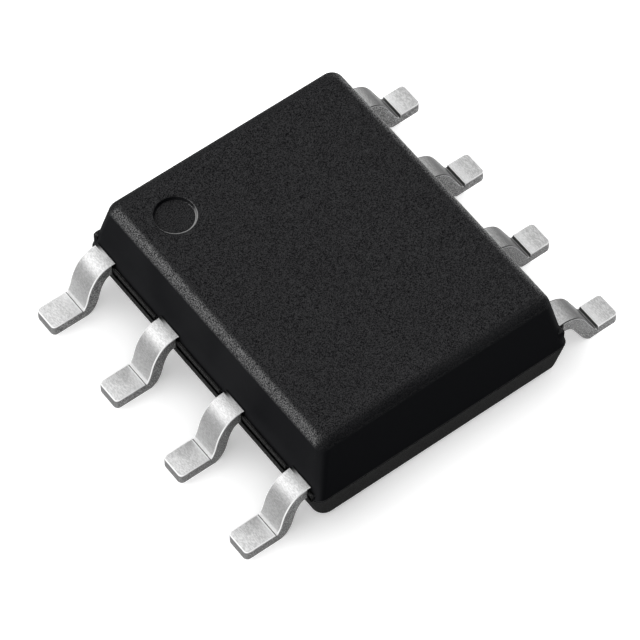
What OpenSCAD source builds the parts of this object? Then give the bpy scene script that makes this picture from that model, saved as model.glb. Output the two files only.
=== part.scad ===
// Power MOSFET in an eight-lead small-outline (SOIC) package.
// The origin is the middle of the board plane that the lead feet stand on. X runs across the
// package, Y along the rows of leads, Z up. Lead 1 is at -X, +Y; leads 1 to 4 run down the -X side
// and leads 5 to 8 come back up the +X side. Leads 1 to 3 are the source, 4 the gate, and 5 to 8
// the drain. All sizes are in millimetres.

/* [Moulded body] */
// Width of the body across the leads, at the parting line
body_w = 3.66; // [3.4:0.02:4.4]
// Depth of the half above the parting line
upper_h = 0.90; // [0.8:0.05:1.4]
// Depth of the half below the parting line
lower_h = 0.45; // [0.4:0.05:0.8]
// Clear height between the board and the underside of the body
standoff = 0.10; // [0.05:0.01:0.3]
// Resin left between an outermost lead and the end wall
end_margin = 0.155; // [0.12:0.005:0.6]
// Draft angle of the upper walls, in degrees
upper_draft = 10.5; // [3:0.5:14]
// Draft angle of the lower walls, in degrees
lower_draft = 9; // [2:0.5:12]
// Radius of the edge round the top face
top_r = 0.12; // [0.04:0.01:0.2]
// Radius of the edge round the underside
bottom_r = 0.08; // [0.03:0.01:0.14]
// Radius of the four upright corners
corner_r = 0.15; // [0.05:0.01:0.3]
// How far the lower half stands out past the upper half at the parting line
mould_ledge = 0.01; // [0.005:0.005:0.05]
// How far the resin web between the leads stands out past the long walls
web_out = 0.03; // [0.015:0.005:0.06]
// Height of the web above the parting line, as a share of the leads' thickness
web_share = 0.7; // [0.4:0.05:0.95]
// Gap from the end of a stretch of web to the next lead, left where the dam bar was cut out
dam_gap = 0.065; // [0.03:0.005:0.15]
// Height above the parting line up to which the body's corners are square
square_h = 0.20; // [0.1:0.01:0.25]

/* [Lead 1 mark] */
// Diameter of the round recess beside lead 1
mark_d = 0.50; // [0.3:0.05:0.7]
// Depth of that recess
mark_depth = 0.04; // [0.02:0.01:0.1]
// Distance of its centre from the long edge of the top face
mark_in_x = 0.58; // [0.5:0.02:0.9]
// Distance of its centre from the end edge of the top face
mark_in_y = 0.64; // [0.5:0.02:0.9]

/* [Leads] */
// Distance between neighbouring leads, centre to centre
pitch = 1.27; // [1:0.01:1.6]
// Width of a lead
lead_w = 0.36; // [0.28:0.01:0.5]
// Thickness of the lead-frame sheet
lead_t = 0.18; // [0.12:0.01:0.24]
// Thickness of a foot, coined a little thinner than the sheet
foot_t = 0.16; // [0.1:0.005:0.18]
// Length of a foot from the crease to the toe
foot_l = 0.43; // [0.3:0.01:0.8]
// Straight run of a lead between the body and its upper bend
shoulder_l = 0.03; // [0.02:0.01:0.3]
// Slope of the leg between the two bends, in degrees from level
leg_angle = 73; // [60:1:85]
// Inside radius of the upper bend
upper_bend_r = 0.10; // [0.04:0.01:0.16]
// Inside radius of the crease above the heel
crease_r = 0.04; // [0.02:0.01:0.1]
// Outside radius of the heel, on the board side
heel_r = 0.20; // [0.1:0.01:0.26]
// Radius of the toe corners seen from above
toe_r = 0.06; // [0.01:0.01:0.12]

/* [Lead frame inside the body] */
// Reach of a source or gate lead from the long wall to the inner end of its bond post
post_reach = 0.75; // [0.65:0.05:0.95]
// Size of a bond post across the package
post_l = 0.46; // [0.3:0.02:0.5]
// Size of a bond post along the row
post_w = 0.84; // [0.5:0.02:0.9]
// Gap between the bond posts and the die pad
pad_gap = 0.20; // [0.15:0.01:0.35]
// Resin between the die pad and each end wall
pad_end_gap = 0.52; // [0.3:0.02:0.7]
// How far the die pad is pressed down below the leads
pad_drop = 0.25; // [0.15:0.01:0.3]
// Slope of the pressed-down strip, in degrees from level
drop_angle = 50; // [40:1:70]
// Flat of the die pad left clear round the solder
pad_margin = 0.08; // [0.04:0.01:0.1]
// Resin between the long wall and the bar that joins the four drain leads
bar_cover = 0.20; // [0.12:0.02:0.26]
// Diameter of the resin lock holes in the drain bar
lock_d = 0.18; // [0.1:0.02:0.2]
// Corner radius of the bond posts and the die pad
frame_r = 0.08; // [0.02:0.01:0.12]

/* [Silicon] */
// Size of the die across the package
die_w = 1.50; // [1:0.05:1.6]
// Size of the die along the rows
die_l = 2.30; // [1.8:0.05:2.6]
// Thickness of the die
die_t = 0.20; // [0.1:0.01:0.28]
// Thickness of the solder under the die
attach_t = 0.03; // [0.02:0.01:0.06]
// How far the solder shows round the die
attach_rim = 0.05; // [0.02:0.01:0.1]
// Thickness of the bond metal on top of the die
metal_t = 0.02; // [0.01:0.005:0.04]
// Bare border of the die round its bond metal
die_border = 0.08; // [0.04:0.01:0.12]
// Side of the square gate pad
gate_side = 0.36; // [0.25:0.01:0.45]

/* [Bond wires] */
// Diameter of the six source wires
source_wire_d = 0.06; // [0.04:0.005:0.08]
// Diameter of the gate wire
gate_wire_d = 0.04; // [0.03:0.005:0.05]
// Height of a wire's vertical rise over its ball
wire_rise = 0.14; // [0.1:0.01:0.25]
// Radius of the bend at the top of a wire's rise
wire_bend_r = 0.10; // [0.06:0.01:0.14]
// Ball diameter as a multiple of the wire's
ball_ratio = 2.4; // [2:0.1:2.8]
// Distance of the source balls' centres from the edges of the source metal
ball_in = 0.16; // [0.13:0.01:0.24]

/* [Hidden] */
$fn = 48;

eps = 0.01;                                  // overshoot of a cutting shape

// Rows of leads
row_n = 4;                                   // leads on each side
row_l = (row_n - 1) * pitch;                 // first lead to last
function lead_y(k) = row_l / 2 - k * pitch;  // k = 0 at the +Y end

// Heights above the board
part_z = standoff + lower_h;                 // parting line, level with the leads' undersides
body_top = part_z + upper_h;
pad_z = part_z - pad_drop;                   // underside of the die pad
die_z = pad_z + lead_t + attach_t;
metal_z = die_z + die_t;
post_z = part_z + lead_t;                    // top of the bond posts

// Body
body_l = row_l + lead_w + 2 * end_margin;
half_w = body_w / 2;
half_l = body_l / 2;
web_x = half_w + web_out;
square_in = square_h * tan(upper_draft) + eps / 2; // the square corners stay inside the walls
wall_in = upper_h * tan(upper_draft);        // how far the upper walls lean in over their height
mark_x = -(half_w - wall_in - mark_in_x);
mark_y = half_l - wall_in - mark_in_y;

// Gull-wing profile: centres of its bends, measured outwards from the middle plane. The crease and
// the heel are placed so that each is tangent to its own face of the straight leg.
bend_top_r = upper_bend_r + lead_t;
bend_x = web_x + shoulder_l;
bend_z = part_z - upper_bend_r;
crease_z = foot_t + crease_r;
crease_x = bend_x + (bend_top_r + crease_r + cos(leg_angle) * (bend_z - crease_z)) / sin(leg_angle);
heel_x = crease_x + (heel_r - lead_t - crease_r - cos(leg_angle) * (heel_r - crease_z))
                    / sin(leg_angle);
toe_x = crease_x + foot_l;

// Lead frame plan
post_x = half_w - post_reach;                // inner end of the posts, on the -X side
post_pitch = (row_l + lead_w - post_w) / (row_n - 1);
function post_y(k) = (row_n - 1) * post_pitch / 2 - k * post_pitch;
pad_x0 = -post_x + pad_gap;
pad_flat = die_w + 2 * (attach_rim + pad_margin);
mitre = lead_t * tan(drop_angle / 2);        // top corners of the slope stand back by this
pad_x1 = pad_x0 + pad_flat + mitre;          // where the underside turns up into the slope
drop_top_x = pad_x1 + pad_drop / tan(drop_angle);
bar_x1 = half_w - bar_cover;
pad_l = body_l - 2 * pad_end_gap;

// Silicon
die_x = pad_x0 + pad_flat / 2;
die_edge_x = die_x - die_w / 2 + die_border; // bond-metal edge that faces the posts
die_edge_y = -die_l / 2 + die_border;

bend_n = 10;                                 // flats along one bend of a lead or wire
wire_sides = 10;                             // flats round a wire

// ---- Outline helpers ----

// Rectangle with rounded corners, centred on the origin
module rounded_rect(w, l, r) {
    hw = w / 2 - r;
    hl = l / 2 - r;
    union() {
        square([w, 2 * hl], center = true);
        square([2 * hw, l], center = true);
        for (x = [-hw, hw], y = [-hl, hl]) translate([x, y]) circle(r);
    }
}

// One half of the moulding, growing from its parting face at z = 0: drafted walls, rounded
// upright corners and a rounded outer edge, lofted through rounded rectangles
module moulded_half(w, l, h, draft, edge_r) {
    // The edge's arc starts where it leaves the drafted wall and ends level
    tangent_z = h - edge_r * (1 - sin(draft));
    hull() {
        linear_extrude(eps / 10) rounded_rect(w, l, corner_r, $fn = 32);
        for (a = [draft : (90 - draft) / 5 : 90.01]) {
            z = h - edge_r + edge_r * sin(a);
            lean = tangent_z * tan(draft) + edge_r * (cos(draft) - cos(a));
            translate([0, 0, z - eps / 10]) linear_extrude(eps / 10)
                rounded_rect(w - 2 * lean, l - 2 * lean, corner_r, $fn = 32);
        }
    }
}

// Points on an arc, its angles measured clockwise from straight up
function arc(centre, r, a0, a1) =
    [for (i = [0 : bend_n]) let (a = a0 + (a1 - a0) * i / bend_n) centre + r * [sin(a), cos(a)]];

// Side view of a gull-wing lead, out along its top face to the toe and back along its underside
function gull_wing_edge() = concat(
    arc([bend_x, bend_z], bend_top_r, 0, leg_angle),
    arc([crease_x, crease_z], crease_r, 180 + leg_angle, 180),
    [[toe_x, foot_t], [toe_x, 0]],
    arc([heel_x, heel_r], heel_r, 180, 180 + leg_angle),
    arc([bend_x, bend_z], upper_bend_r, leg_angle, 0));

// Plan of one lead strip from x_in out to its rounded toe
module lead_strip_plan(x_in) {
    difference() {
        translate([x_in, -lead_w / 2]) square([toe_x - x_in, lead_w]);
        for (s = [-1, 1]) translate([toe_x - toe_r, s * (lead_w / 2 - toe_r)])
            difference() {
                translate([0, s > 0 ? 0 : -toe_r - eps]) square(toe_r + eps);
                circle(toe_r);
            }
    }
}

// Sheet metal: the plan that was stamped, bent to the side view that was pressed
module stamped_and_bent() {
    intersection() {
        rotate([90, 0, 0]) linear_extrude(2 * body_l, center = true) children(0);
        translate([0, 0, -eps]) linear_extrude(body_top) children(1);
    }
}

// ---- Lead frame ----

// A separate lead with a wide bond post inside the body, on the -X side
module post_lead(k) {
    mirror([1, 0, 0]) stamped_and_bent() {
        polygon(concat([[post_x, post_z]], gull_wing_edge(), [[post_x, part_z]]));
        union() {
            translate([0, lead_y(k)]) lead_strip_plan(post_x + post_l / 2);
            translate([post_x + post_l / 2, post_y(k)]) rounded_rect(post_l, post_w, frame_r);
        }
    }
}

// Side view of the drain frame: die pad, sloping strip, then the gull-wing leads
module drain_side() {
    polygon(concat(
        [[pad_x0, pad_z + lead_t], [pad_x1 - mitre, pad_z + lead_t], [drop_top_x - mitre, post_z]],
        gull_wing_edge(),
        [[drop_top_x, part_z], [pad_x1, pad_z], [pad_x0, pad_z]]));
}

// Stamped plan of the drain frame: die pad, bar with resin locks, four leads
module drain_plan() {
    pad_w = pad_x1 - pad_x0;
    bar_w = bar_x1 - drop_top_x;
    difference() {
        union() {
            translate([pad_x0 + pad_w / 2, 0]) rounded_rect(pad_w, pad_l, frame_r);
            translate([pad_x1 - frame_r, -pad_l / 2 + frame_r])
                square([drop_top_x - pad_x1 + 2 * frame_r, pad_l - 2 * frame_r]);
            translate([drop_top_x, -row_l / 2 - lead_w / 2]) square([bar_w, row_l + lead_w]);
            for (k = [0 : row_n - 1]) translate([0, lead_y(k)]) lead_strip_plan(drop_top_x);
        }
        for (k = [0 : row_n - 2])
            translate([drop_top_x + bar_w / 2, lead_y(k) - pitch / 2]) circle(d = lock_d);
    }
}

module drain_frame() color("#c9cacb") stamped_and_bent() {
    drain_side();
    drain_plan();
}
module source_lead_1() color("#c9cacb") post_lead(0);
module source_lead_2() color("#c9cacb") post_lead(1);
module source_lead_3() color("#c9cacb") post_lead(2);
module gate_lead() color("#c9cacb") post_lead(3);

// ---- Silicon and its metal ----

module die_attach() color("#8d9096")
    translate([die_x, 0, pad_z + lead_t]) linear_extrude(attach_t)
        rounded_rect(die_w + 2 * attach_rim, die_l + 2 * attach_rim, attach_rim);

module silicon_die() color("#3c4149")
    translate([die_x - die_w / 2, -die_l / 2, die_z]) cube([die_w, die_l, die_t]);

// Source metal covers the die except for its border and the corner kept for the gate
module source_pad() color("#b9bcc2")
    translate([die_edge_x, die_edge_y, metal_z]) linear_extrude(metal_t) difference() {
        square([die_w - 2 * die_border, die_l - 2 * die_border]);
        translate([-eps, -eps]) square(gate_side + die_border + eps);
    }

module gate_pad() color("#b9bcc2")
    translate([die_edge_x, die_edge_y, metal_z]) cube([gate_side, gate_side, metal_t]);

// ---- Bond wires ----

// Round tube along stations [x, z, travel angle past straight up] of a path in the XZ plane
module swept_wire(d, path) {
    last = (len(path) - 1) * wire_sides;
    points = [for (p = path, i = [0 : wire_sides - 1]) let (t = 360 * i / wire_sides)
              [p[0] + d / 2 * cos(t) * cos(p[2]), d / 2 * sin(t),
               p[1] - d / 2 * cos(t) * sin(p[2])]];
    walls = [for (k = [0 : wire_sides : last - 1], i = [0 : wire_sides - 1])
             let (j = (i + 1) % wire_sides)
             [k + i, k + wire_sides + i, k + wire_sides + j, k + j]];
    start_cap = [for (i = [0 : wire_sides - 1]) i];
    end_cap = [for (i = [wire_sides - 1 : -1 : 0]) last + i];
    polyhedron(points, concat([start_cap], walls, [end_cap]));
}

// Ball-and-stitch wire of diameter d. It starts with a ball at from, rises, bends over and runs
// straight down to the post at to. Both are [x, y] places on the bond metal and on a post.
module bond_wire(d, from, to) {
    run = norm(to - from);
    drop = metal_z + metal_t - post_z;         // ball face above post face
    top_z = wire_rise + drop;                  // bend centre above the post face
    ball_d = ball_ratio * d;
    stitch_t = d / 3;
    // From the bend's centre to the middle of the stitch, level and down
    far = run - wire_bend_r;
    fall = top_z - stitch_t / 2;
    // Travel angle at which the wire leaves its bend on a tangent through the stitch
    leave = 90 + atan2(fall, far) + asin(wire_bend_r / norm([far, fall]));
    bend = [for (i = [0 : bend_n]) let (a = leave * i / bend_n)
            [wire_bend_r * (1 - cos(a)), top_z + wire_bend_r * sin(a), a]];
    translate([from.x, from.y, post_z]) rotate([0, 0, atan2(to.y - from.y, to.x - from.x)]) {
        // Ball, flattened on the metal
        intersection() {
            translate([0, 0, drop + ball_d / 4]) sphere(d = ball_d, $fn = 24);
            translate([-ball_d, -ball_d, drop]) cube([2 * ball_d, 2 * ball_d, ball_d / 2]);
        }
        // Rise, bend and fall, cut level on the post face
        difference() {
            swept_wire(d, concat([[0, drop + ball_d / 4, 0]], bend,
                [[run + d * sin(leave), stitch_t / 2 + d * cos(leave), leave]]));
            translate([run - 3 * d, -2 * d, -3 * d]) cube([6 * d, 4 * d, 3 * d]);
        }
        // Stitch: the squashed end of the wire
        translate([run, 0, 0]) linear_extrude(stitch_t)
            polygon([[-1.5 * d, -d / 3], [d, -d], [1.4 * d, 0], [d, d], [-1.5 * d, d / 3]]);
    }
}

post_mid_x = -(post_x + post_l / 2);

// Source wire n of six. Their balls stand in one row, spread along the source metal beyond the gate
// corner, and two wires share each post.
module source_wire(n) {
    first_y = -die_edge_y - ball_in;
    last_y = die_edge_y + gate_side + die_border + ball_in;
    side = n % 2 == 0 ? 1 : -1;
    bond_wire(source_wire_d, [die_edge_x + ball_in, first_y + (last_y - first_y) * n / 5],
              [post_mid_x, post_y(floor(n / 2)) + side * post_w / 4]);
}
module source_wire_1() color("#d9b24a") source_wire(0);
module source_wire_2() color("#d9b24a") source_wire(1);
module source_wire_3() color("#d9b24a") source_wire(2);
module source_wire_4() color("#d9b24a") source_wire(3);
module source_wire_5() color("#d9b24a") source_wire(4);
module source_wire_6() color("#d9b24a") source_wire(5);
module gate_wire() color("#d9b24a")
    bond_wire(gate_wire_d, [die_edge_x + gate_side / 2, die_edge_y + gate_side / 2],
              [post_mid_x, post_y(3)]);

// ---- Moulded body ----

// Everything that the resin was cast round
module cast_in() {
    drain_frame();
    for (k = [0 : row_n - 1]) post_lead(k);
    die_attach();
    silicon_die();
    source_pad();
    gate_pad();
    for (n = [0 : 5]) source_wire(n);
    gate_wire();
}

// Resin squeezed out along the -X side, from each lead towards -Y. A stretch ends short of the next
// lead, and the last one ends at the corner.
module resin_web() {
    root = half_w - square_in - 2 * lead_t;
    for (k = [0 : row_n - 1]) {
        web_l = k < row_n - 1 ? pitch - lead_w - dam_gap : end_margin - square_in;
        translate([-web_x, lead_y(k) - lead_w / 2 - web_l, part_z])
            cube([web_x - root, web_l, web_share * lead_t]);
    }
}

module moulded_body() color("#242427") difference() {
    union() {
        translate([0, 0, part_z]) moulded_half(body_w, body_l, upper_h, upper_draft, top_r);
        translate([0, 0, part_z]) mirror([0, 0, 1])
            moulded_half(body_w + 2 * mould_ledge, body_l + 2 * mould_ledge, lower_h,
                         lower_draft, bottom_r);
        // Square corners in the plane of the leads
        translate([0, 0, part_z + square_h / 2])
            cube([body_w - 2 * square_in, body_l - 2 * square_in, square_h], center = true);
        // The +X side is the -X side after a half turn
        for (a = [0, 180]) rotate([0, 0, a]) resin_web();
    }
    cast_in();
    translate([mark_x, mark_y, body_top - mark_depth]) cylinder(d = mark_d, h = 2 * mark_depth);
}

moulded_body();
drain_frame();
source_lead_1();
source_lead_2();
source_lead_3();
gate_lead();
die_attach();
silicon_die();
source_pad();
gate_pad();
source_wire_1();
source_wire_2();
source_wire_3();
source_wire_4();
source_wire_5();
source_wire_6();
gate_wire();
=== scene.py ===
# %% [markdown]
# # A power transistor in a small-outline package
# The part is a few millimetres across: a black block of moulding compound with eight tinned
# leads bent like gull wings, and inside it a lead frame, a silicon die and its bond wires.
# The solid model is already packed as a frame. This script dresses it: it keeps every place and
# size, and gives each visible piece finer edges and a finish of its own.

# %% Load the frame
from math import cos, pi, radians, sin, tan

import bmesh
import bpy
from mathutils import Matrix, Vector


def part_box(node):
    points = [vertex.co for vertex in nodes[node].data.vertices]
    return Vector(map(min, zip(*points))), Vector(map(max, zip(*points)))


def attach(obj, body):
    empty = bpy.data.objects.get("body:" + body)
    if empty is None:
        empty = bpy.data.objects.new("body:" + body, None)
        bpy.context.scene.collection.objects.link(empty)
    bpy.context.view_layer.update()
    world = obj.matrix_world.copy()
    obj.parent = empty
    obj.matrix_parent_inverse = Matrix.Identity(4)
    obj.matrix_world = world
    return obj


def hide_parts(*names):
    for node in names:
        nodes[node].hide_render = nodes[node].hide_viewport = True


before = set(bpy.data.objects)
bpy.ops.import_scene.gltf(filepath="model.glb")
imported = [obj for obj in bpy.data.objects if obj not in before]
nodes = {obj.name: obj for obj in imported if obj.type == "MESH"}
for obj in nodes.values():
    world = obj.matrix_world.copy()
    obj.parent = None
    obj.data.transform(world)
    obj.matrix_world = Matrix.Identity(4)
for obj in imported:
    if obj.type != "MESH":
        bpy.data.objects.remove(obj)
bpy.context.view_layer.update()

print("nodes", sorted(nodes))

# %% [markdown]
# ## Sizes
# Blender works in metres and this part is drawn in millimetres. Pieces are drawn in millimetres
# too, because mesh tools round off at a fixed fineness that is too coarse for a part a few
# thousandths of a metre long, and each one is scaled to metres when it is finished. The large
# sizes are read back from the frame, and the small ones are the solid model's own driving values.
# Where a form is finer here than in the solids, its sizes stand in its own cell.

# %% Sizes in millimetres
MM = 0.001

body_low, body_high = (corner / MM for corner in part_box("moulded_body"))
standoff = body_low.z
body_top = body_high.z
web_x = body_high.x                      # outer face of the resin web between the leads
toe_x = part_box("drain_frame")[1].x / MM
ledge = 0.01                             # step of the lower half past the upper half

pitch = 1.27
lead_w = 0.36
lead_t = 0.18
foot_t = 0.16
near_crease = 2.303                      # where the legs of leads 1 to 4 meet their feet
far_crease = 2.415                       # leads 5 to 8 are formed with gentler legs
lead_y = [(1.5 - k) * pitch for k in range(4)]

part_z = standoff + 0.45                 # parting line, level with the leads' undersides
post_z = part_z + lead_t                 # upper face of the posts and of the bar
half_w = web_x - 0.03                    # upper half of the block at the parting line
half_l = body_high.y - ledge
upper_draft = radians(10.5)
lower_draft = radians(9)
print("body top", round(body_top, 3), "toe", round(toe_x, 3), "half length", round(half_l, 3))


# %% [markdown]
# ## Helpers for solid pieces
# A piece is drawn in a bmesh and then becomes an object that sits at the origin, with its place
# in its mesh. `finished` does that for every piece, so the ways in which a piece can go wrong
# (doubled points, faces that look inwards, flat shading, wrong units) are dealt with in one place.
# Edges could be rounded by a modifier on each piece, but then every edge would get one radius, so
# `round_edges` bevels chosen edges in the bmesh. Weighted normals keep wide flat faces flat beside
# small rounded edges.

# %% Turn a bmesh into a piece
MERGE_BELOW = 0.0005                     # millimetres between points that are one point
SMOOTH_BELOW = radians(40)


def finished(bm, name, material):
    """Turns a bmesh drawn in millimetres into a shaded object in metres."""
    bmesh.ops.remove_doubles(bm, verts=bm.verts, dist=MERGE_BELOW)
    bmesh.ops.recalc_face_normals(bm, faces=bm.faces)
    open_edges = sum(not e.is_manifold for e in bm.edges)
    bmesh.ops.scale(bm, verts=bm.verts, vec=(MM, MM, MM))
    mesh = bpy.data.meshes.new(name)
    bm.to_mesh(mesh)
    bm.free()
    mesh.materials.append(material)
    mesh.shade_smooth()
    mesh.set_sharp_from_angle(angle=SMOOTH_BELOW)
    piece = bpy.data.objects.new(name, mesh)
    bpy.context.scene.collection.objects.link(piece)
    weighted = piece.modifiers.new("even shading", "WEIGHTED_NORMAL")
    weighted.keep_sharp = True
    print(name, len(mesh.polygons), "faces,", open_edges, "open edges")
    return piece


def round_edges(bm, edges, radius, segments):
    """Rounds edges and returns the points of the roundings."""
    return bmesh.ops.bevel(bm, geom=edges, offset=radius, offset_type="OFFSET", segments=segments,
                           profile=0.5, affect="EDGES", material=-1)["verts"]


# %% [markdown]
# ## Node helpers
# A shader is a graph. These few lines add a node with its inputs set, and join sockets, so that
# each material below reads as a list of what it is made of. A mask is a value that is 1 where an
# effect shows and 0 elsewhere: `both` and `either` combine two of them, and `opposite` turns one
# round.

# %% Nodes and links
def put(value, socket):
    """Sets an input to a plain value, or links it to another node's output."""
    if isinstance(value, bpy.types.NodeSocket):
        socket.id_data.links.new(value, socket)
    else:
        socket.default_value = value


def node(tree, kind, **inputs):
    n = tree.nodes.new(kind)
    for name, value in inputs.items():
        put(value, n.inputs[name])
    return n


def maths(tree, operation, a, b=0.0):
    n = tree.nodes.new("ShaderNodeMath")
    n.operation = operation
    put(a, n.inputs[0])
    put(b, n.inputs[1])
    return n.outputs[0]


# %% Masks and ramps
def both(tree, a, b):
    return maths(tree, "MULTIPLY", a, b)


def either(tree, a, b):
    return maths(tree, "MAXIMUM", a, b)


def opposite(tree, mask):
    return maths(tree, "SUBTRACT", 1.0, mask)


def magnitude(tree, value):
    return maths(tree, "ABSOLUTE", value)


def ramp(tree, value, low, high, out_low=0.0, out_high=1.0, smooth=True):
    """Goes from out_low to out_high as the value goes from low to high; low may be the larger."""
    n = tree.nodes.new("ShaderNodeMapRange")
    n.interpolation_type = "SMOOTHSTEP" if smooth else "LINEAR"
    for name, setting in (("Value", value), ("From Min", low), ("From Max", high),
                          ("To Min", out_low), ("To Max", out_high)):
        put(setting, n.inputs[name])
    return n.outputs["Result"]


def ramp_mm(tree, value, low, high, out_low=0.0, out_high=1.0):
    """A ramp over a length, with its limits in millimetres."""
    return ramp(tree, value, low * MM, high * MM, out_low, out_high)


# %% Colours and materials
MIX_A, MIX_B, MIX_RESULT = 6, 7, 2       # the sockets of a Mix node that hold colours


def blend_colours(tree, mask, a, b):
    """Colour a where the mask is 0 and colour b where it is 1."""
    n = tree.nodes.new("ShaderNodeMix")
    n.data_type = "RGBA"
    put(mask, n.inputs["Factor"])
    put(a, n.inputs[MIX_A])
    put(b, n.inputs[MIX_B])
    return n.outputs[MIX_RESULT]


def grey(v):
    return (v, v, v, 1.0)


def new_material(name, metallic=0.0, specular=0.5):
    m = bpy.data.materials.new(name)
    m.use_nodes = True
    shader = m.node_tree.nodes["Principled BSDF"]
    shader.inputs["Metallic"].default_value = metallic
    shader.inputs["Specular IOR Level"].default_value = specular
    return m, m.node_tree, shader


def parts_of(tree, vector):
    """The X, Y and Z outputs of a vector."""
    return node(tree, "ShaderNodeSeparateXYZ", Vector=vector).outputs


# %% [markdown]
# ## Grain
# Moulding compound, tin plate, solder and silicon all have a fine irregular grain, at different
# sizes. A grain could be an image, but then each piece would have to be unwrapped, and the image
# would blur close up. Noise on the piece's own coordinates has neither fault. One node group makes
# it: two noises of different fineness, added. Its inputs are the grain size in metres and how much
# of the coarser cloud is mixed in.

# %% The grain group
CLOUD_FINENESS = 0.14                    # the cloud is about seven times as wide as the grain


def make_grain_group():
    group = bpy.data.node_groups.new("fine grain", "ShaderNodeTree")
    sockets = group.interface
    sockets.new_socket("Vector", in_out="INPUT", socket_type="NodeSocketVector")
    sockets.new_socket("Grain Size", in_out="INPUT", socket_type="NodeSocketFloat")
    sockets.new_socket("Cloud", in_out="INPUT", socket_type="NodeSocketFloat")
    sockets.new_socket("Grain", in_out="OUTPUT", socket_type="NodeSocketFloat")
    given = group.nodes.new("NodeGroupInput").outputs
    scale = maths(group, "DIVIDE", 1.0, given["Grain Size"])
    cloud_scale = maths(group, "MULTIPLY", scale, CLOUD_FINENESS)
    fine = node(group, "ShaderNodeTexNoise", Vector=given["Vector"], Scale=scale,
                Detail=2.0, Roughness=0.6)
    cloud = node(group, "ShaderNodeTexNoise", Vector=given["Vector"], Scale=cloud_scale,
                 Detail=3.0, Roughness=0.55)
    weighted = maths(group, "MULTIPLY", cloud.outputs[0], given["Cloud"])
    total = maths(group, "ADD", fine.outputs[0], weighted)
    node(group, "NodeGroupOutput", Grain=total)
    return group


grain_group = make_grain_group()
print(grain_group.name, "group of", len(grain_group.nodes), "nodes")


def grain(tree, vector, size, cloud):
    g = tree.nodes.new("ShaderNodeGroup")
    g.node_tree = grain_group
    put(vector, g.inputs["Vector"])
    put(size, g.inputs["Grain Size"])
    put(cloud, g.inputs["Cloud"])
    return g.outputs["Grain"]


# %% [markdown]
# ## Moulding compound
# The block is epoxy filled with silica and carbon. The top of the mould was spark eroded, so the
# top face and the rounding round it have a fine stipple with a resin-rich skin, while the drafted
# walls are plain and blacker. The web squeezed out between the leads was torn when the frame's
# dam bars were cut out, so it is rough and paler. Each of these could be a material of its own on
# its own faces, but then they would meet in hard lines. One material does them all: masks from
# the face's own normal and from the place in the block choose colour, skin, roughness and stipple.
# The colour also carries painted light: painted bounce light on the lower half and low on the
# walls near the leads, painted shade on the ends, a painted highlight along the parting line and on
# one side of the recess, and soft upright patches of painted reflection on the walls.

# %% Where a point of the block lies
def block_masks(tree, where):
    normal = parts_of(tree, where.outputs["Normal"])
    place = parts_of(tree, where.outputs["Object"])
    above_parting = maths(tree, "SUBTRACT", place["Z"], part_z * MM)
    at_end = ramp_mm(tree, magnitude(tree, place["Y"]), half_l - 0.50, half_l - 0.42)
    facing_front = maths(tree, "MULTIPLY", normal["Y"], -1.0)
    facing_back = both(tree, normal["Y"], at_end)
    return {
        "upward": ramp(tree, normal["Z"], 0.22, 0.62),
        "level": ramp(tree, normal["Z"], 0.90, 0.995),
        "torn": ramp_mm(tree, magnitude(tree, place["X"]), half_w + 0.001, half_w + 0.006),
        "below": ramp_mm(tree, place["Z"], part_z, part_z - 0.01),
        # painted light: lighter low on the walls, near the leads
        "painted light by leads": ramp_mm(tree, place["Z"], part_z + 0.40, part_z),
        # painted highlight: a lighter line along the parting line
        "parting highlight": ramp_mm(tree, magnitude(tree, above_parting), 0.013, 0.007),
        # painted shade: the end walls and the roundings towards them are darker
        "end shade": either(tree, facing_front, facing_back),
        # Painted highlight: the side of the recess that faces the light is painted paler
        "recess highlight": both(tree, ramp(tree, normal["Y"], 0.06, 0.30), opposite(tree, at_end)),
    }


# %% Colours of the compound
wall_tones = (0.0064, 0.0066, 0.0074, 1), (0.0098, 0.0100, 0.0109, 1)
# painted light low on the walls near the leads
wall_painted_light_by_leads = (0.0145, 0.0147, 0.0158, 1)
# painted shade on the end walls
end_wall_shade = (0.0028, 0.0030, 0.0036, 1)
# painted bounce light: the lower half is lighter, as if lit from the floor
lower_bounce_light_tones = grey(0.005), grey(0.019)
# painted highlight along the parting line
parting_highlight_tone = grey(0.030)
top_tones = (0.0020, 0.0020, 0.0026, 1), (0.0320, 0.0320, 0.0335, 1)
# painted highlight on one side of the recess
recess_highlight_tone = grey(0.30)
web_tones = grey(0.005), grey(0.036)


def block_colour(tree, where, on, fleck):
    light = ramp(tree, fleck, 0.43, 0.62)
    # Soft upright patches of painted reflection on the walls
    tall = node(tree, "ShaderNodeMapping", Vector=where.outputs["Object"], Scale=(1.0, 1.0, 0.2))
    cloud = node(tree, "ShaderNodeTexNoise", Vector=tall.outputs["Vector"], Scale=1.3 / MM,
                 Detail=1.0)
    wall = blend_colours(tree, ramp(tree, cloud.outputs[0], 0.35, 0.70), *wall_tones)
    # painted light: lighter low on the walls near the leads
    wall = blend_colours(tree, on["painted light by leads"], wall, wall_painted_light_by_leads)
    # painted shade: the end walls are darker
    wall = blend_colours(tree, ramp(tree, on["end shade"], 0.6, 0.95), wall, end_wall_shade)
    # painted bounce light on the lower half
    wall = blend_colours(tree, on["below"], wall, blend_colours(tree, light, *lower_bounce_light_tones))
    # painted highlight along the parting line
    wall = blend_colours(tree, on["parting highlight"], wall, parting_highlight_tone)
    top = blend_colours(tree, light, *top_tones)
    # painted shade: the top's roundings towards the ends take the darker wall colour
    top = blend_colours(tree, ramp(tree, on["end shade"], 0.04, 0.40), top, wall)
    # painted highlight on one side of the recess
    top = blend_colours(tree, on["recess highlight"], top, recess_highlight_tone)
    smooth = blend_colours(tree, on["upward"], wall, top)
    return blend_colours(tree, on["torn"], smooth, blend_colours(tree, light, *web_tones))


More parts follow.
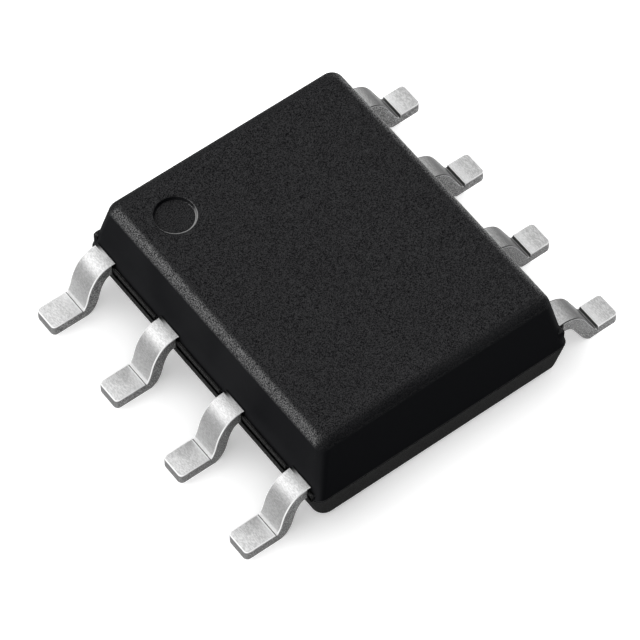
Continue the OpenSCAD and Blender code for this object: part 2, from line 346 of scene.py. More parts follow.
# %% Skin and stipple
def block_skin(tree, on, stipple):
    """Full on the roundings of the long sides, thinner on the level top, least at the ends."""
    skin = both(tree, on["upward"], ramp(tree, on["level"], 0.0, 1.0, 1.0, 0.13, smooth=False))
    skin = both(tree, skin, ramp(tree, on["end shade"], 0.06, 0.45, 1.0, 0.12))
    return both(tree, skin, ramp(tree, stipple, 0.42, 0.60, 0.0, 1.15))


def block_bump(tree, on, stipple):
    """Deep on the top and the torn web, shallower on the lower half, slight on the walls."""
    depth = ramp(tree, on["upward"], 0.0, 1.0, 0.04, 1.0, smooth=False)
    depth = either(tree, depth, on["torn"])
    depth = either(tree, depth, maths(tree, "MULTIPLY", on["below"], 0.4))
    bump = node(tree, "ShaderNodeBump", Height=both(tree, stipple, depth), Strength=1.0,
                Distance=0.012 * MM)
    return bump.outputs["Normal"]


# %% Moulding compound material
# Noise is weakest in planes at whole multiples of its size, so the top isn't at a whole multiple
stipple_size = body_top / 105.4
fleck_size = body_top / 124.4


def make_resin():
    m, tree, shader = new_material("black moulding compound", specular=0.005)
    where = tree.nodes.new("ShaderNodeTexCoord")
    on = block_masks(tree, where)
    stipple = grain(tree, where.outputs["Object"], stipple_size * MM, cloud=0.0)
    fleck = grain(tree, where.outputs["Object"], fleck_size * MM, cloud=0.04)
    put(block_colour(tree, where, on, fleck), shader.inputs["Base Color"])
    put(ramp(tree, fleck, 0.4, 0.8, 0.46, 0.64), shader.inputs["Roughness"])
    put(block_skin(tree, on, stipple), shader.inputs["Coat Weight"])
    put(0.42, shader.inputs["Coat Roughness"])
    put(1.80, shader.inputs["Coat IOR"])
    put(block_bump(tree, on, stipple), shader.inputs["Normal"])
    return m


resin = make_resin()
print(resin.name, len(resin.node_tree.nodes), "nodes")


# %% [markdown]
# ## Tinned lead frame
# The frame is stamped from copper alloy sheet. Only what stays outside the resin is plated with
# matt tin: a soft satin metal with a fine grain across the lead. Its edges were sheared when the
# leads were cut apart, so they are darker and duller than the faces. Inside the block the copper is
# bare. Painted light goes into the tin's colour too: a painted shadow on each lead where it leaves
# the block, painted shade down the legs and in the crease, painted reflection lighter near the
# crease, and painted highlights on the rims, the pad, the brow, the heel and the toe. Faces, edges
# and rims could be told apart by painting each face of the mesh, but a mask from the normal
# follows the roundings by itself. Leads 5 to 8 get a shaded copy of the material, with darker
# flats, legs and leg rims, so the tones of flats, legs and rims are arguments.

# %% Where a point of a lead lies
def lead_masks(tree, where, crease_x, crease_shade_width):
    normal = parts_of(tree, where.outputs["Normal"])
    out = magnitude(tree, parts_of(tree, where.outputs["Object"])["X"])
    past_crease = maths(tree, "SUBTRACT", out, crease_x * MM)
    sideways = magnitude(tree, normal["Y"])
    endways = magnitude(tree, normal["X"])
    upper = ramp(tree, normal["Z"], 0.0, 0.1)
    on_foot = ramp_mm(tree, past_crease, -0.002, 0.006)
    # Sheared faces: the two edges of the strip, and the cut end of the toe
    edge = ramp(tree, sideways, 0.85, 0.97)
    upright = ramp(tree, magnitude(tree, normal["Z"]), 0.62, 0.30)
    toe_end = both(tree, upright, ramp_mm(tree, out, toe_x - 0.075, toe_x - 0.060))
    # Painted highlights where the metal turns through a small radius: the toe, the brow of the pad
    # and the heel
    toe_rim = both(tree, ramp_mm(tree, out, toe_x - 0.020, toe_x - 0.012),
                   ramp(tree, endways, 0.90, 0.70))
    brow = both(tree, ramp_mm(tree, past_crease, 0.010, 0.014),
                ramp_mm(tree, past_crease, 0.030, 0.020))
    heel = both(tree, ramp_mm(tree, past_crease, -0.040, -0.026),
                ramp_mm(tree, past_crease, -0.010, -0.016))
    highlight_spots = either(tree, toe_rim, either(tree, brow, maths(tree, "MULTIPLY", heel, 0.5)))
    # painted shade: a dark line in the crease
    crease_shade = ramp_mm(tree, magnitude(tree, past_crease), crease_shade_width, 0.6 * crease_shade_width)
    # Plating starts inside the block; a painted shadow darkens the lead at the wall and on its
    # sides by the web
    outside = ramp_mm(tree, out, half_w - 0.10, half_w - 0.06)
    at_wall = ramp_mm(tree, out, half_w - 0.014, half_w - 0.022)
    on_side = both(tree, ramp(tree, sideways, 0.45, 0.70),
                   ramp_mm(tree, out, web_x + 0.008, web_x))
    return {
        "endways": endways,
        "past crease": past_crease,
        "foot": on_foot,
        "rim": both(tree, ramp(tree, sideways, 0.15, 0.28), ramp(tree, sideways, 0.90, 0.75)),
        # painted highlight on the foot just past the crease
        "pad highlight": both(tree, on_foot, ramp_mm(tree, past_crease, 0.03, 0.17, 0.45, 0.0)),
        "painted highlight": both(tree, upper, highlight_spots),
        # painted shade in the crease
        "crease": both(tree, upper, crease_shade),
        "edge": edge,
        "toe end": toe_end,
        "cut": either(tree, edge, toe_end),
        "outside": outside,
        # painted shadow where the lead meets the block
        "slot shade": both(tree, outside, either(tree, at_wall, on_side)),
    }


# %% Colours of the plating
# painted highlight on the foot's rims
foot_rim_highlight_tone = grey(0.95)
# painted highlight on the foot just past the crease
pad_highlight_tone = grey(0.95)
# painted highlight at the toe, the pad's brow and the heel
small_radius_highlight_tone = grey(0.92)
# painted shade in the crease
crease_shade_tone = grey(0.09)
sheared_tones = grey(0.09), grey(0.42)
toe_end_tones = grey(0.13), grey(0.24)
copper_tones = (0.55, 0.27, 0.17, 1), (0.72, 0.38, 0.26, 1)
# painted shadow where the lead meets the block
slot_shadow_tone = grey(0.006)


def rolled_face(tree, on, tone, flat_tones, leg_tones, leg_slopes, low_leg_share, leg_rim_tone):
    """The sheet's own faces, with painted shade, painted reflection and painted highlights."""
    flat = blend_colours(tree, tone, *map(grey, flat_tones))
    leg = blend_colours(tree, tone, *map(grey, leg_tones))
    # painted shade: the sloping leg is darker
    face = blend_colours(tree, ramp(tree, on["endways"], *leg_slopes), flat, leg)
    # painted reflection: lighter again low on the leg, near the crease
    low_leg = ramp_mm(tree, on["past crease"], -0.16, -0.02, 0.0, low_leg_share)
    face = blend_colours(tree, low_leg, face, flat)
    # painted highlight on the foot's rims; on the leg's rims a painted tone, light on one row and
    # dark on the other
    rim_tone = blend_colours(tree, on["foot"], grey(leg_rim_tone), foot_rim_highlight_tone)
    face = blend_colours(tree, on["rim"], face, rim_tone)
    # painted highlight on the foot just past the crease
    face = blend_colours(tree, on["pad highlight"], face, pad_highlight_tone)
    # painted highlight at the toe, the pad's brow and the heel
    face = blend_colours(tree, on["painted highlight"], face, small_radius_highlight_tone)
    # painted shade in the crease
    return blend_colours(tree, on["crease"], face, crease_shade_tone)


def lead_colour(tree, on, speck, face_tones):
    tone = ramp(tree, speck, 0.36, 0.78)
    face = rolled_face(tree, on, tone, **face_tones)
    toe_end = blend_colours(tree, tone, *toe_end_tones)
    sheared = blend_colours(tree, ramp(tree, speck, 0.48, 0.76), *sheared_tones)
    plated = blend_colours(tree, on["toe end"], face, toe_end)
    plated = blend_colours(tree, on["edge"], plated, sheared)
    copper = blend_colours(tree, tone, *copper_tones)
    colour = blend_colours(tree, on["outside"], copper, plated)
    # painted shadow where the lead meets the block
    return blend_colours(tree, on["slot shade"], colour, slot_shadow_tone)


# %% Lead-frame material
# Rolling and bending draw the grain out across the lead: its coordinates are squeezed that way
across_scale = 0.35


def make_tin(name, crease_x, crease_shade_width, **face_tones):
    m, tree, shader = new_material(name)
    where = tree.nodes.new("ShaderNodeTexCoord")
    on = lead_masks(tree, where, crease_x, crease_shade_width)
    drawn = node(tree, "ShaderNodeMapping", Vector=where.outputs["Object"],
                 Scale=(1.0, across_scale, 1.0))
    speck = grain(tree, drawn.outputs["Vector"], 0.013 * MM, cloud=0.12)
    put(lead_colour(tree, on, speck, face_tones), shader.inputs["Base Color"])
    # Where highlights are painted, and on the foot's rims, the metal is less of a mirror, so the
    # light painted colour shows
    highlight_spots = both(tree, on["painted highlight"], opposite(tree, on["cut"]))
    foot_rim = maths(tree, "MULTIPLY", both(tree, on["rim"], on["foot"]), 0.5)
    put(opposite(tree, either(tree, highlight_spots, foot_rim)), shader.inputs["Metallic"])
    rough = ramp(tree, speck, 0.4, 0.9, 0.44, 0.54)
    rougher = maths(tree, "MULTIPLY", on["cut"], 0.12)
    put(maths(tree, "ADD", rough, rougher), shader.inputs["Roughness"])
    bump = node(tree, "ShaderNodeBump", Height=speck, Strength=1.0, Distance=0.0012 * MM)
    put(bump.outputs["Normal"], shader.inputs["Normal"])
    return m


tin = make_tin("matt tin over copper", crease_x=near_crease, crease_shade_width=0.008,
               flat_tones=(0.53, 0.80), leg_tones=(0.23, 0.33), leg_slopes=(0.30, 0.95),
               low_leg_share=0.45, leg_rim_tone=0.80)
# A shaded copy of the tin for leads 5 to 8: painted shade on flats, legs and leg rims
shaded_tin = make_tin("matt tin over copper, shaded copy", crease_x=far_crease, crease_shade_width=0.014,
                    flat_tones=(0.40, 0.66), leg_tones=(0.042, 0.085), leg_slopes=(0.20, 0.76),
                    low_leg_share=0.0, leg_rim_tone=0.06)
for m in (tin, shaded_tin):
    print(m.name, len(m.node_tree.nodes), "nodes")


# %% [markdown]
# ## The moulded block
# A transfer mould has two halves that meet in the plane of the leads. Each half is a tray with
# drafted walls, upright corners that are a little rounder away from the parting line, and a
# rounded edge round its floor. A box with bevelled edges would come near, but a bevel gives the
# edges of a leaning corner uneven strips. The tray is lofted instead: an outline is a circle whose
# four quarters are moved out to the corners, and each outline is bridged to the next. That gives
# exact corner arcs and even strips for the light to run along.

# %% Outlines and lofts
CORNER_STEPS = 10


def rounded_outline(bm, half_x, half_y, radius, z):
    ring = bmesh.ops.create_circle(bm, segments=4 * CORNER_STEPS, radius=radius)["verts"]
    # Half a step of turn puts no point on an axis, so every point belongs to one corner
    turn = Matrix.Rotation(pi / (4 * CORNER_STEPS), 3, "Z")
    bmesh.ops.rotate(bm, verts=ring, cent=(0, 0, 0), matrix=turn)
    for v in ring:
        v.co.x += (half_x - radius) * (1 if v.co.x > 0 else -1)
        v.co.y += (half_y - radius) * (1 if v.co.y > 0 else -1)
        v.co.z = z
    return ring


def ring_edges(ring):
    inside = set(ring)
    return list({e for v in ring for e in v.link_edges if e.other_vert(v) in inside})


def loft(bm, rings):
    for first, second in zip(rings, rings[1:]):
        bmesh.ops.bridge_loops(bm, edges=ring_edges(first) + ring_edges(second))


def cap(bm, ring):
    return bmesh.ops.edgenet_fill(bm, edges=ring_edges(ring))["faces"]


def circle_at(bm, centre, radius, segments):
    circle = bmesh.ops.create_circle(bm, segments=segments, radius=radius)["verts"]
    bmesh.ops.translate(bm, verts=circle, vec=centre)
    return circle


# %% [markdown]
# A tray's wall leans in by the draft and ends in an edge arc that starts along the wall and ends
# level with the floor. The outlines sit where that arc is cut into equal angles.

# %% One half of the moulding
EDGE_STEPS = 8
upper_r = 0.17
lower_r = 0.09
corner_r = 0.13                          # upright corners at the parting line
corner_r_end = 0.15                      # and at the top and the underside


def tray_outlines(bm, half_x, half_y, height, draft, edge_r, up, side=1.0, end=1.0):
    """Outlines of a tray from its mouth at the parting line to its floor; up is 1 or -1. The side
    and end walls lean by that share of the draft's lean."""
    tangent = height - edge_r * (1 - sin(draft))
    growth = (corner_r_end - corner_r) / height
    rings = [rounded_outline(bm, half_x, half_y, corner_r, part_z)]
    for k in range(EDGE_STEPS + 1):
        a = draft + (pi / 2 - draft) * k / EDGE_STEPS
        rise = height - edge_r + edge_r * sin(a)
        lean = tangent * tan(draft) + edge_r * (cos(draft) - cos(a))
        rings.append(rounded_outline(bm, half_x - side * lean, half_y - end * lean,
                                     corner_r + growth * rise, part_z + up * rise))
    loft(bm, rings)
    return rings


# %% [markdown]
# Beside lead 1 the mould left a shallow round recess. Cutting it with a boolean would leave long
# thin triangles at its rim, which catch the light. Here the top face is filled between its outline
# and a circle, and the disc in the circle is then inset step by step. Each inset carries the disc
# inwards and down, so the steps draw the recess's profile from its rim to its floor.

# %% The lead 1 recess
mark_r = 0.25
mark_in_x = 0.546                        # from the corner where the walls' planes meet the top
mark_in_y = 0.614
wall_in = (body_top - part_z) * tan(upper_draft)
mark_centre = Vector((mark_in_x + wall_in - half_w, half_l - wall_in - mark_in_y, body_top))
mark_collar = 0.030                      # the circle lies this far outside the recess
# Steps inwards and down: a level collar, a rounded rim, the wall, a rounded foot, a level border
MARK_STEPS = [(0.016, 0.0), (0.006, 0.003), (0.003, 0.006), (0.011, 0.033), (0.004, 0.006),
              (0.006, 0.002), (0.012, 0.0)]


def close_top_with_recess(bm, outline):
    circle = circle_at(bm, mark_centre, mark_r + mark_collar, 64)
    bmesh.ops.triangle_fill(bm, edges=ring_edges(outline) + ring_edges(circle), use_beauty=True)
    disc = cap(bm, circle)
    if disc[0].normal.z < 0:
        bmesh.ops.reverse_faces(bm, faces=disc)
    for run, drop in MARK_STEPS:
        bmesh.ops.inset_individual(bm, faces=disc, thickness=run, depth=-drop)


print("recess at", [round(c, 3) for c in mark_centre], "depth", sum(drop for _, drop in MARK_STEPS))


# %% [markdown]
# In the plane of the leads two corners of the block have a small square lug, and along the sides
# resin has squeezed out as a thin web. Each stretch of web starts at a lead and ends short of the
# next one, where the dam bar of the frame was punched out. A fine groove parts it from the wall
# above, so a stretch is a low base that reaches into the block and a lip in front. The -X side
# turned by half a turn gives the +X side.

# %% Corner lugs and web
lug_l = 0.13                             # along the side and along the end
lug_h = 0.26
lug_in_x = 0.03                          # set back from the side and from the end
lug_in_y = 0.035
lug_r = 0.04

web_h = 0.7 * lead_t
web_r = 0.006
web_clear = 0.004                        # from a lead to the stretch that starts at it
web_short = 0.065                        # from the end of a stretch to the next lead
web_end = 0.08                           # from the last stretch to the end of the block
lip_t = 0.026
groove = 0.045                           # depth of the groove behind the lip
base_l = 0.3                             # how far the base reaches into the block
lug_lift, base_sink = 0.002, 0.004       # keep faces out of the parting plane


def bar(bm, low, high, radius):
    """A box between two corners with rounded edges; returns its points."""
    made = bmesh.ops.create_cube(bm, size=1.0)["verts"]
    low, high = Vector(low), Vector(high)
    bmesh.ops.scale(bm, verts=made, vec=high - low)
    bmesh.ops.translate(bm, verts=made, vec=(low + high) / 2)
    return round_edges(bm, list({e for v in made for e in v.link_edges}), radius, segments=2)


def add_side(bm):
    """The lug and the web of the -X side; returns their points."""
    lug_x = lug_in_x - half_w
    made = bar(bm, (lug_x, half_l - lug_l, part_z + lug_lift),
               (lug_x + lug_l, half_l - lug_in_y, part_z + lug_h), lug_r)
    for k, y in enumerate(lead_y):
        y1 = y - lead_w / 2 - web_clear
        y0 = y - pitch + lead_w / 2 + web_short if k < 3 else web_end - half_l
        made += bar(bm, (-web_x, y0, part_z - base_sink),
                    (base_l - web_x, y1, part_z + web_h - groove), web_r)
        made += bar(bm, (-web_x, y0, part_z), (lip_t - web_x, y1, part_z + web_h), web_r)
    return made


def add_web(bm):
    add_side(bm)
    other = add_side(bm)
    bmesh.ops.scale(bm, verts=list(set(other)), vec=(-1, -1, 1))


# %% Build the block
def make_block():
    bm = bmesh.new()
    upper = tray_outlines(bm, half_w, half_l, body_top - part_z, upper_draft, upper_r, up=1)
    close_top_with_recess(bm, upper[-1])
    cap(bm, upper[0])
    lower = tray_outlines(bm, half_w + ledge, half_l + ledge, part_z - standoff, lower_draft,
                          lower_r, up=-1, side=1.3, end=0.8)
    cap(bm, lower[-1])
    cap(bm, lower[0])
    add_web(bm)
    return finished(bm, "block", resin)


block = make_block()
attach(block, "root")
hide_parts("moulded_body")


# %% [markdown]
# ## Leads
# A lead is one strip of sheet, stamped flat and then bent in a press. A bent plane with a
# thickness modifier would do for a wide panel, but here the thickness is half the width and its
# two sides have different radii. So the strip's end face is pushed straight through the shoulder,
# spun about the upper bend, spun on about a much larger radius so that the leg is never quite
# flat, pushed down, spun back through the foot of the leg into a tight crease, and pushed out to
# the toe. Spin keeps the sheet's thickness true round each bend. Each bend takes its centre from
# where the end face has got to, so the strip needs no worked-out coordinates, only radii and
# angles. Leads 5 to 8 are formed more gently than leads 1 to 4, so each row has its own.

# %% Pushing and bending a strip
def push(bm, face, move):
    """Extrudes an end face by move, and drops the old face if it is left inside the strip."""
    made = bmesh.ops.extrude_face_region(bm, geom=[face])["geom"]
    verts = [g for g in made if isinstance(g, bmesh.types.BMVert)]
    bmesh.ops.translate(bm, verts=verts, vec=move)
    if face.is_valid and all(len(e.link_faces) > 2 for e in face.edges):
        bmesh.ops.delete(bm, geom=[face], context="FACES_ONLY")
    return next(g for g in made if isinstance(g, bmesh.types.BMFace))


def end_section(face):
    """The middle of the end face's top edge, and the direction from its foot to its top."""
    by_height = sorted(face.verts, key=lambda v: v.co.z)
    top = (by_height[-1].co + by_height[-2].co) / 2
    foot = (by_height[0].co + by_height[1].co) / 2
    return top, (top - foot).normalized()


def bend(bm, face, degrees, top_r, steps):
    """Spins the end face; top_r is the radius of the strip's upper side, whichever way it bends."""
    top, up = end_section(face)
    centre = top - up * top_r if degrees > 0 else top + up * top_r
    geom = [face] + list(face.edges) + list(face.verts)
    last = bmesh.ops.spin(bm, geom=geom, cent=centre, axis=(0, 1, 0), angle=radians(degrees),
                          steps=steps, use_duplicate=False)["geom_last"]
    return next(g for g in last if isinstance(g, bmesh.types.BMFace))


# %% The gull wing
# Where the brow starts and its radius, the leg's slopes in degrees at its top, at its middle and
# at its foot, and how far the crease lies below the pad
near_leg = {"brow_x": web_x, "brow_r": 0.30, "top_slope": 56, "steepest": 75, "foot_slope": 56,
            "dip": 0.014}
far_leg = {"brow_x": web_x - 0.010, "brow_r": 0.38, "top_slope": 54, "steepest": 62,
           "foot_slope": 50, "dip": 0.036}
upper_leg_r = 0.75
lower_leg_r = 0.40
crease_r = 0.02
# The coined pad stands up from the crease with a rounded brow: steps out, and shares of the dip
PAD_STEPS = [(0.003, 0.4), (0.003, 0.4), (0.008, 0.2)]


def pull_out_lead(bm, face, start_x, brow_x, brow_r, top_slope, steepest, foot_slope, dip):
    """Pushes an end face that looks along +X out through a whole gull-wing lead."""
    face = push(bm, face, (brow_x - start_x, 0, 0))
    face = bend(bm, face, top_slope, brow_r, steps=14)
    face = bend(bm, face, steepest - top_slope, upper_leg_r, steps=6)
    # Straight down until the last two bends will land the strip on the board
    sweep = lower_leg_r * (cos(radians(foot_slope)) - cos(radians(steepest)))
    turn = crease_r * (1 - cos(radians(foot_slope)))
    drop = end_section(face)[0].z - (lead_t - dip) - sweep - turn
    face = push(bm, face, (drop / tan(radians(steepest)), 0, -drop))
    face = bend(bm, face, foot_slope - steepest, lower_leg_r, steps=6)
    face = bend(bm, face, -foot_slope, crease_r, steps=8)
    print("crease at", round(end_section(face)[0].x, 3), "leg", round(drop, 3))
    for run, share in PAD_STEPS:
        face = push(bm, face, (run, 0, 0))
        for v in sorted(face.verts, key=lambda v: v.co.z)[-2:]:
            v.co.z += share * dip
    return push(bm, face, (toe_x - end_section(face)[0].x, 0, 0))


# %% [markdown]
# The foot is coined a little thinner in the press that bends it, which squeezes everything below
# the leg. The rims are chosen by what they join: an edge outside the block whose two faces meet at
# a steep angle. The toe's upright edges get a larger radius first.

# %% Coining, and rounding toes and rims
knee = 0.45                              # the coining squeezes nothing above this height
toe_r = 0.06
rim_r = 0.018
rim_angle = radians(70)                  # between the faces on either side of a rim
rim_start = web_x - 0.10                 # rims are rounded from a little inside the block
NEAR = 0.001                             # closer than this counts as touching


def coin_foot(bm):
    """Squeezes the foot from lead_t to foot_t, and the leg under the knee in step with it."""
    for v in bm.verts:
        if abs(v.co.x) > web_x and v.co.z < knee:
            up_leg = max(0.0, v.co.z - lead_t) / (knee - lead_t)
            v.co.z = max(0, min(v.co.z, lead_t)) * foot_t / lead_t + up_leg * (knee - foot_t)


def round_toes(bm):
    bm.normal_update()
    upright = [e for e in bm.edges
               if all(abs(v.co.x) > toe_x - NEAR for v in e.verts)
               and abs(e.verts[0].co.z - e.verts[1].co.z) > foot_t / 2]
    round_edges(bm, upright, toe_r, segments=6)


def round_rims(bm):
    bm.normal_update()
    rims = [e for e in bm.edges
            if len(e.link_faces) == 2 and e.calc_face_angle(0) > rim_angle
            and min(abs(v.co.x) for v in e.verts) > rim_start]
    round_edges(bm, rims, rim_r, segments=3)


def end_face(bm, x, y0, y1, z0, z1):
    """A rectangle that stands across X, the section a strip is pushed out from."""
    corners = [(x, y0, z0), (x, y1, z0), (x, y1, z1), (x, y0, z1)]
    return bm.faces.new([bm.verts.new(c) for c in corners])


# %% [markdown]
# Leads 1 to 4 are separate strips. Each starts inside the block as a wide post, where bond wires
# land, and narrows to the lead. The narrowing is an end face pushed by nothing and then squeezed,
# which makes the post's shoulders. The strip is drawn towards +X and mirrored to its own side.

# %% Leads with posts
post_l = 0.46
post_w = 0.84
post_x = half_w - 0.75
post_pitch = (3 * pitch + lead_w - post_w) / 3
post_y = [(1.5 - k) * post_pitch for k in range(4)]


def make_post_lead(k, cad_node):
    bm = bmesh.new()
    face = end_face(bm, post_x, post_y[k] - post_w / 2, post_y[k] + post_w / 2, part_z, post_z)
    face = push(bm, face, (post_l, 0, 0))
    face = push(bm, face, (0, 0, 0))
    for v in face.verts:
        v.co.y = lead_y[k] + lead_w / 2 * (1 if v.co.y > post_y[k] else -1)
    pull_out_lead(bm, face, post_x + post_l, **near_leg)
    coin_foot(bm)
    round_toes(bm)
    round_rims(bm)
    bmesh.ops.scale(bm, verts=bm.verts, vec=(-1, 1, 1))
    piece = finished(bm, cad_node + "_strip", tin)
    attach(piece, "root")
    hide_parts(cad_node)


for k, cad_node in enumerate(("source_lead_1", "source_lead_2", "source_lead_3", "gate_lead")):
    make_post_lead(k, cad_node)


# %% [markdown]
# Leads 5 to 8 and the die pad are one stamping. The pad lies lower than the leads, a sloping
# strip lifts it to a bar, and the four leads leave the bar. The bar's outer face is sliced at each
# lead's edges, so that every lead has its own face to be pushed out. Three holes through the bar
# let the resin lock the frame in: the same slices leave a face between each two leads, and a hole
# is drilled by filling that face, and the one under it, round a circle and bridging the circles.

# %% The drain frame
pad_x0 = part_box("drain_frame")[0].x / MM
pad_drop = 0.25                          # the die pad lies this far below the leads
pad_z = part_z - pad_drop
drop_angle = radians(50)
mitre = lead_t * tan(drop_angle / 2)
die_w = 1.5
die_margin = 0.05 + 0.08                 # solder past the die, and pad past the solder
pad_x1 = pad_x0 + die_w + 2 * die_margin + mitre
drop_top_x = pad_x1 + pad_drop / tan(drop_angle)
landing_x = drop_top_x + 0.04            # the frame widens from the slope's strip to the bar here
bar_x1 = half_w - 0.20
pad_half_l = half_l - 0.52
bar_half_l = 1.5 * pitch + lead_w / 2
lock_r = 0.09                            # holes through the bar


def nearest_face(bm, point):
    return min(bm.faces, key=lambda f: (f.calc_center_median() - point).length)


def shift_top(face, dx):
    """Moves the upper edge of an end face at the leads' level, which mitres a bend."""
    for v in face.verts:
        if v.co.z > part_z + lead_t / 2:
            v.co.x += dx


def drill(bm, x, y, radius):
    circles = []
    for z in (part_z, post_z):
        centre = Vector((x, y, z))
        face = nearest_face(bm, centre)
        outline = list(face.edges)
        bmesh.ops.delete(bm, geom=[face], context="FACES_ONLY")
        circles.append(circle_at(bm, centre, radius, 24))
        bmesh.ops.triangle_fill(bm, edges=outline + ring_edges(circles[-1]), use_beauty=True)
    loft(bm, circles)


# %% From the die pad up to the bar
def push_out_pad_and_bar(bm):
    face = end_face(bm, pad_x0, -pad_half_l, pad_half_l, pad_z, pad_z + lead_t)
    face = push(bm, face, (pad_x1 - pad_x0, 0, 0))
    face = push(bm, face, (drop_top_x - pad_x1, 0, pad_drop))
    foot_of_slope = [v for v in bm.verts if abs(v.co.x - pad_x1) < NEAR
                     and v.co.z > pad_z + lead_t / 2]
    bmesh.ops.translate(bm, verts=foot_of_slope, vec=(-mitre, 0, 0))
    shift_top(face, -mitre)
    face = push(bm, face, (landing_x - drop_top_x, 0, 0))
    shift_top(face, mitre)
    face = push(bm, face, (0, 0, 0))
    for v in face.verts:
        v.co.y = bar_half_l * (1 if v.co.y > 0 else -1)
    push(bm, face, (bar_x1 - landing_x, 0, 0))


def slice_at_leads(bm):
    """Cuts new edges through every face in the planes of the leads' two sides."""
    for y in lead_y:
        for edge_y in (y + lead_w / 2, y - lead_w / 2):
            bmesh.ops.bisect_plane(bm, geom=list(bm.verts) + list(bm.edges) + list(bm.faces),
                                   plane_co=(0, edge_y, 0), plane_no=(0, 1, 0))


# %% Build the drain frame
def make_drain_frame():
    bm = bmesh.new()
    push_out_pad_and_bar(bm)
    slice_at_leads(bm)
    for y in lead_y[:-1]:
        drill(bm, (landing_x + bar_x1) / 2, y - pitch / 2, lock_r)
    for y in lead_y:
        own = nearest_face(bm, Vector((bar_x1, y, part_z + lead_t / 2)))
        pull_out_lead(bm, own, bar_x1, **far_leg)
    coin_foot(bm)
    round_toes(bm)
    round_rims(bm)
    piece = finished(bm, "drain_stamping", shaded_tin)
    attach(piece, "root")
    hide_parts("drain_frame")


make_drain_frame()


# %% [markdown]
# ## Inner pieces
# The die, its solder, its bond metal and the wires keep the solids of the frame, since their
# shapes are right. They get finishes of their own: polished silicon, dull solder, brushed
# aluminium and drawn gold. The four differ only in tones, roughness and grain, so one function
# makes them all.

# %% Finishes of the inner pieces
def plain_finish(name, tones, rough, metallic, grain_size, depth):
    """A finish whose grain shifts its colour, its roughness and its surface a little."""
    m, tree, shader = new_material(name, metallic=metallic)
    where = tree.nodes.new("ShaderNodeTexCoord")
    speck = grain(tree, where.outputs["Object"], grain_size * MM, cloud=0.5)
    put(blend_colours(tree, ramp(tree, speck, 0.6, 1.2), *tones), shader.inputs["Base Color"])
    put(ramp(tree, speck, 0.6, 1.2, rough * 0.85, rough * 1.15), shader.inputs["Roughness"])
    bump = node(tree, "ShaderNodeBump", Height=speck, Strength=1.0, Distance=depth * MM)
    put(bump.outputs["Normal"], shader.inputs["Normal"])
    return m


solder = plain_finish("die solder", tones=((0.26, 0.27, 0.29, 1), (0.42, 0.43, 0.45, 1)),
                      rough=0.5, metallic=1.0, grain_size=0.03, depth=0.002)
silicon = plain_finish("polished silicon",
                       tones=((0.055, 0.060, 0.075, 1), (0.085, 0.092, 0.110, 1)),
                       rough=0.16, metallic=0.6, grain_size=0.05, depth=0.0002)
bond_metal = plain_finish("bond metal", tones=((0.74, 0.74, 0.75, 1), (0.88, 0.88, 0.89, 1)),
                          rough=0.28, metallic=1.0, grain_size=0.012, depth=0.0006)
gold = plain_finish("gold wire", tones=((0.85, 0.58, 0.20, 1), (0.98, 0.72, 0.32, 1)),
                    rough=0.22, metallic=1.0, grain_size=0.02, depth=0.0005)

# %% Give each inner solid its finish
inner_finish = {"die_attach": solder, "silicon_die": silicon, "source_pad": bond_metal,
                "gate_pad": bond_metal, "gate_wire": gold}
for k in range(1, 7):
    inner_finish[f"source_wire_{k}"] = gold
for name, material in inner_finish.items():
    slots = nodes[name].material_slots
    if not slots:
        nodes[name].data.materials.append(material)
    for s in slots:
        s.material = material
print("inner pieces", len(inner_finish))


# %% [markdown]
# ## Floor, light and camera
# The part stands on a light table in a white room. The table's glow is painted lower towards the
# part, most of all on the left, as a painted shadow beside and under it. A floor without a glow
# would need much stronger light to look white, and that light would also grey the black block.

# %% Floor
floor_side = 0.4                         # metres
# painted shadow: the glow is lower beside the part, and lower on the left than on the right
glow_in_painted_shadow = grey(0.24), grey(0.36)       # beside the part, on its left and on its right
# painted shadow: further out the glow is still lower on the left
wide_glow = grey(0.34), grey(0.80)
glow_reach = 1.1                         # millimetres from the block to the full glow


def make_floor_material():
    m, tree, shader = new_material("white floor", specular=0.1)
    where = tree.nodes.new("ShaderNodeTexCoord")
    place = parts_of(tree, where.outputs["Object"])
    cloud = node(tree, "ShaderNodeTexNoise", Vector=where.outputs["Object"], Scale=60.0)
    put(ramp(tree, cloud.outputs[0], 0.3, 0.7, 0.86, 0.94), shader.inputs["Roughness"])
    put(grey(0.93), shader.inputs["Base Color"])
    past_side = maths(tree, "SUBTRACT", magnitude(tree, place["X"]), half_w * MM)
    past_end = maths(tree, "SUBTRACT", magnitude(tree, place["Y"]), half_l * MM)
    # painted shadow: the glow rises from the near tones to the wide ones away from the block
    away = ramp_mm(tree, either(tree, past_side, past_end), 0.0, glow_reach)
    rightward = ramp_mm(tree, place["X"], -2.5, 0.0)
    glow = blend_colours(tree, away, blend_colours(tree, rightward, *glow_in_painted_shadow),
                         blend_colours(tree, rightward, *wide_glow))
    put(glow, shader.inputs["Emission Color"])
    put(1.0, shader.inputs["Emission Strength"])
    return m


def make_floor():
    bm = bmesh.new()
    bmesh.ops.create_grid(bm, x_segments=1, y_segments=1, size=floor_side / 2)
    mesh = bpy.data.meshes.new("floor")
    bm.to_mesh(mesh)
    bm.free()
    mesh.materials.append(make_floor_material())
    piece = bpy.data.objects.new("floor", mesh)
    bpy.context.scene.collection.objects.link(piece)


make_floor()


# %% [markdown]
# The room is brighter on the left, where one soft panel lights the roundings, dimmer on the right,
# and dark in front, which keeps the end wall black. Three panels could do that too, but each would
# show as a mirrored patch in the tin, and a room that changes smoothly doesn't.

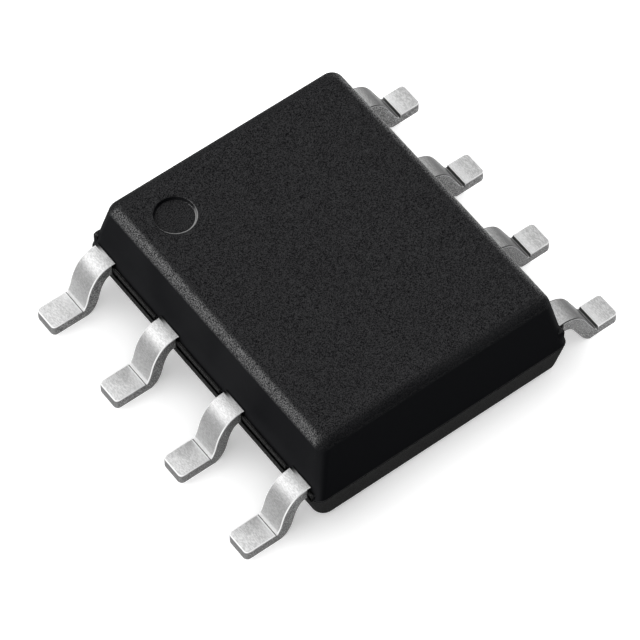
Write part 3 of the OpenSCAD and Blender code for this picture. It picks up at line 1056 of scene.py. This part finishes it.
# %% Lights
def panel(name, direction, distance, size, power):
    light = bpy.data.lights.new(name, "AREA")
    light.shape = "RECTANGLE"
    light.size, light.size_y = size
    light.energy = power
    lamp = bpy.data.objects.new(name, light)
    aim = Vector(direction).normalized()
    lamp.location = aim * distance
    lamp.rotation_euler = aim.to_track_quat("Z", "Y").to_euler()
    bpy.context.scene.collection.objects.link(lamp)


panel("key panel", direction=(-0.70, 0.50, 0.60), distance=0.150, size=(0.100, 0.055),
      power=0.029)

room_strength = 1.14
world = bpy.data.worlds.new("soft room")
world.use_nodes = True
room = world.node_tree
way = parts_of(room, room.nodes.new("ShaderNodeTexCoord").outputs["Generated"])
from_left = ramp(room, way["X"], -0.2, -0.9, 1.0, 1.3)
from_right = ramp(room, way["X"], 0.40, 0.90, 1.0, 0.50)
from_front = ramp(room, way["Y"], -0.48, -0.90, 1.0, 0.06)
light_share = both(room, both(room, from_left, from_right), from_front)
background = room.nodes["Background"]
put(grey(1.0), background.inputs["Color"])
put(maths(room, "MULTIPLY", light_share, room_strength), background.inputs["Strength"])
bpy.context.scene.world = world
bpy.context.scene.view_settings.view_transform = "Standard"
print("room", world.name, "strength", room_strength)

# %% [markdown]
# The camera is a long lens a short way off, looking down on the lead 4 corner. It is placed by
# the direction it looks from, so the angle can be changed by one number.

# %% Camera
turn, height, roll = radians(-37.42), radians(57.11), radians(0.47)
target = Vector((-0.078, 0.036, 0.0)) * MM
camera_distance = 52.70 * MM
sensor_mm = 36.0
lens_mm = 250.9425

back = Vector((sin(turn) * cos(height), -cos(turn) * cos(height), sin(height)))
level_right = Vector((cos(turn), sin(turn), 0))
level_up = back.cross(level_right)
right = level_right * cos(roll) + level_up * sin(roll)
up = level_up * cos(roll) - level_right * sin(roll)

camera_data = bpy.data.cameras.new("camera")
camera_data.sensor_width = sensor_mm
camera_data.lens = lens_mm
camera_data.clip_start = 0.5 * MM
camera_data.clip_end = 1.0
camera = bpy.data.objects.new("camera", camera_data)
axes = Matrix((right, up, back)).transposed().to_4x4()
camera.matrix_world = Matrix.Translation(target + back * camera_distance) @ axes
bpy.context.scene.collection.objects.link(camera)
bpy.context.scene.camera = camera
print("camera at", [round(c / MM, 2) for c in camera.matrix_world.translation], "mm")
